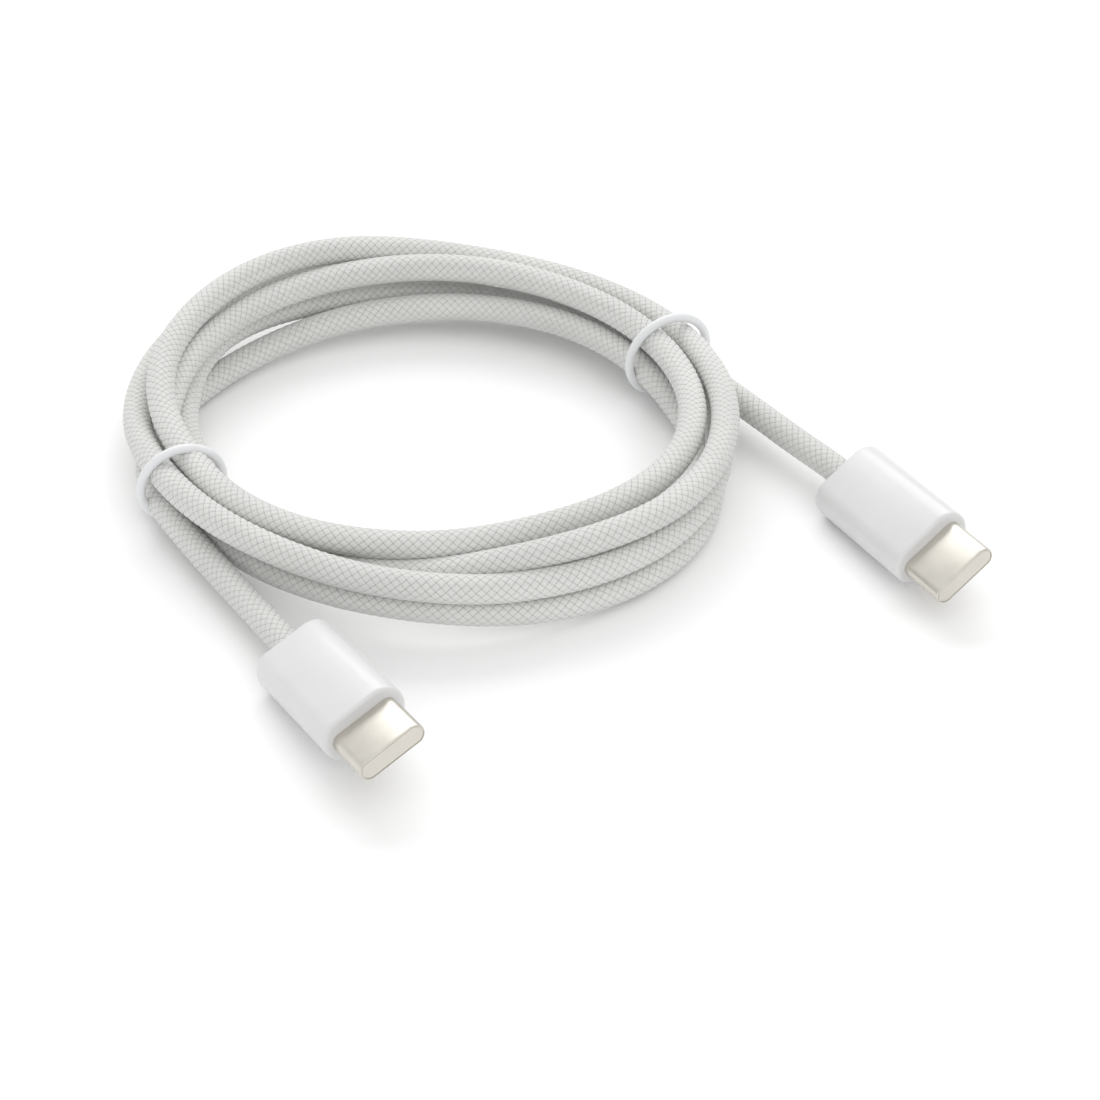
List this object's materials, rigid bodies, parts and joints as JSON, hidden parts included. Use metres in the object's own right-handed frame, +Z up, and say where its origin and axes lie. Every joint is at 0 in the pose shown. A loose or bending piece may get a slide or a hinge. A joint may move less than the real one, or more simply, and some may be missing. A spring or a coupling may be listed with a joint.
{
  "type": "coiled charging cable",
  "caption": "Woven white charging cable with a reversible plug on each end, wound in a coil and held by ring ties that slide along the bundle.",
  "frame": {"origin": "middle of the part's outer box on the surface it lies on", "axes": "+Z up; +Y away from the plugs' mouths, the side the coil lies on; +X towards the second plug; the coil's axis is parallel to Z"},
  "size_m": [0.0992, 0.1022, 0.0112],
  "materials": {
    "cord": "fine woven sleeve, matte with a slight sheen",
    "tie": "smooth satin",
    "plug_white": "satin gloss",
    "mould_white": "fine matte",
    "nickel": "bright nickel plate",
    "black_plastic": "moulded, slightly glossy",
    "gold": "gold plate",
    "steel": "rolled sheet",
    "board": "solder mask",
    "chip": "moulded",
    "wire": "extruded insulation"
  },
  "bodies": {
    "cable": {"cord_coil": "cord", "cord_tail_a": "cord", "cord_tail_b": "cord", "housing_a": "plug_white", "inner_mould_a": "mould_white", "shell_a": "nickel", "carrier_a": "black_plastic", "contacts_upper_a": "gold", "contacts_lower_a": "gold", "latch_a": "steel", "ground_springs_a": "steel", "board_a": "board", "board_parts_a": "chip", "shield_can_a": "steel", "core_wires_a": "wire", "crimp_ring_a": "steel", "housing_b": "plug_white", "inner_mould_b": "mould_white", "shell_b": "nickel", "carrier_b": "black_plastic", "contacts_upper_b": "gold", "contacts_lower_b": "gold", "latch_b": "steel", "ground_springs_b": "steel", "board_b": "board", "board_parts_b": "chip", "shield_can_b": "steel", "core_wires_b": "wire", "crimp_ring_b": "steel"},
    "tie_left": {"tie_left": "tie"},
    "tie_right": {"tie_right": "tie"}
  },
  "joints": [
    {"name": "tie_left_slide", "type": "hinge", "parent": "cable", "child": "tie_left", "pos_m": [-0.01369, 0.0152, 0], "axis": [0, 0, 1], "range_deg": [-18, 0]},
    {"name": "tie_right_slide", "type": "hinge", "parent": "cable", "child": "tie_right", "pos_m": [-0.01369, 0.0152, 0], "axis": [0, 0, 1], "range_deg": [0, 24]}
  ]
}
